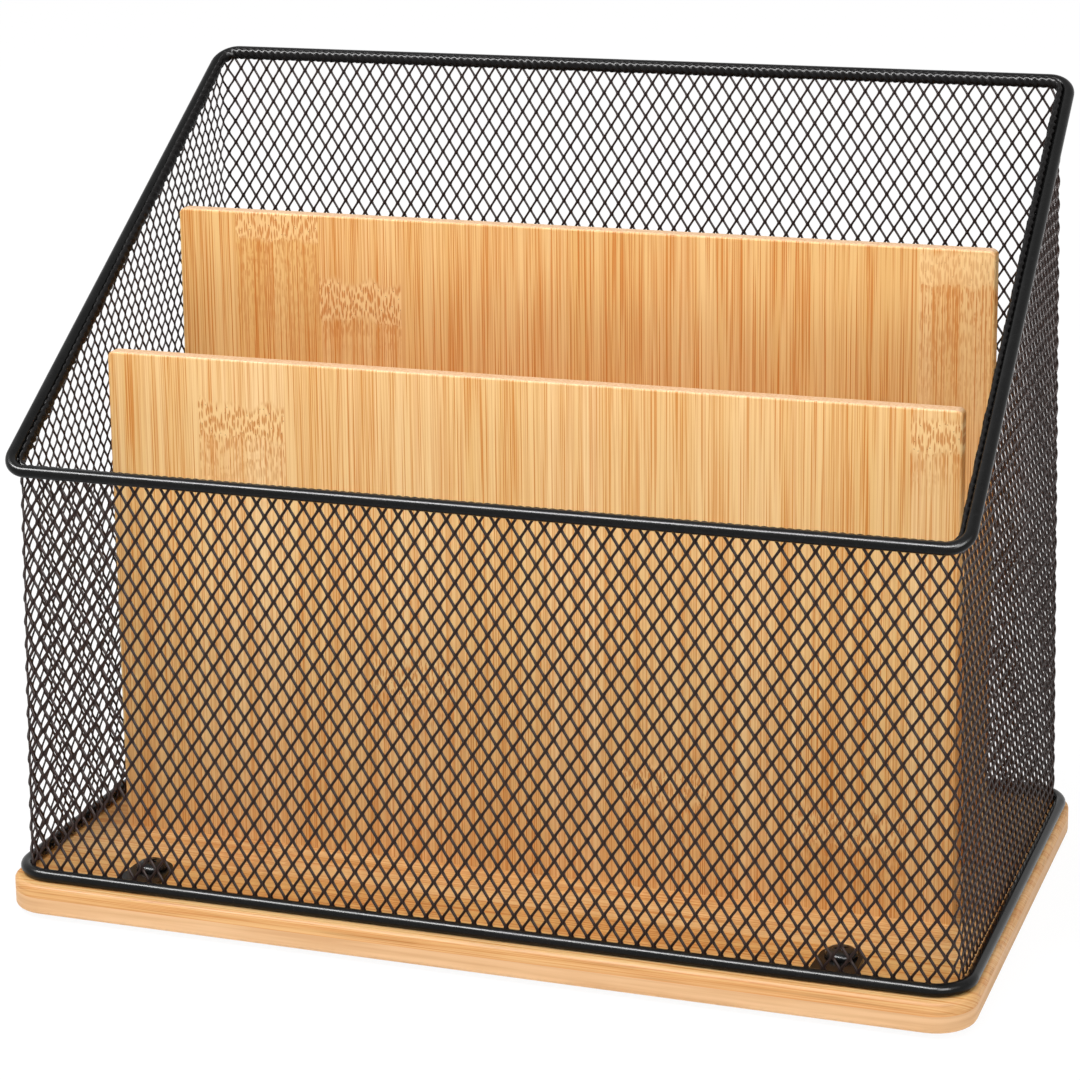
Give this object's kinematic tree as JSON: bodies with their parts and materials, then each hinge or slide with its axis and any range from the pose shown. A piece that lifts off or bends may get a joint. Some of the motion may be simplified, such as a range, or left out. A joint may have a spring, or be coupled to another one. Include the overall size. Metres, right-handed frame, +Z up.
{
  "type": "desk sorter",
  "caption": "Open wire-mesh letter sorter with a sloping rim, two upright bamboo dividers and a bamboo base board",
  "frame": {"origin": "under the middle of the base board, on the surface that the feet stand on", "axes": "+X to the right as seen from the low front, +Y from the low front to the tall back, +Z up"},
  "size_m": [0.32, 0.184, 0.264],
  "materials": {
    "bamboo": "satin",
    "powder_coat": "satin",
    "black_screw": "satin",
    "foot_rubber": "matte"
  },
  "bodies": {
    "root": {"base_board": "bamboo", "front_divider": "bamboo", "rear_divider": "bamboo", "base_ring": "powder_coat", "top_rim": "powder_coat", "mesh_front": "powder_coat", "mesh_back": "powder_coat", "mesh_left": "powder_coat", "mesh_right": "powder_coat", "mesh_corner_front_left": "powder_coat", "mesh_corner_front_right": "powder_coat", "mesh_corner_back_left": "powder_coat", "mesh_corner_back_right": "powder_coat", "lug_front_left": "powder_coat", "lug_front_right": "powder_coat", "lug_back_left": "powder_coat", "lug_back_right": "powder_coat", "basket_screws": "black_screw", "foot_front_left": "foot_rubber", "foot_front_right": "foot_rubber", "foot_back_left": "foot_rubber", "foot_back_right": "foot_rubber"}
  },
  "joints": []
}
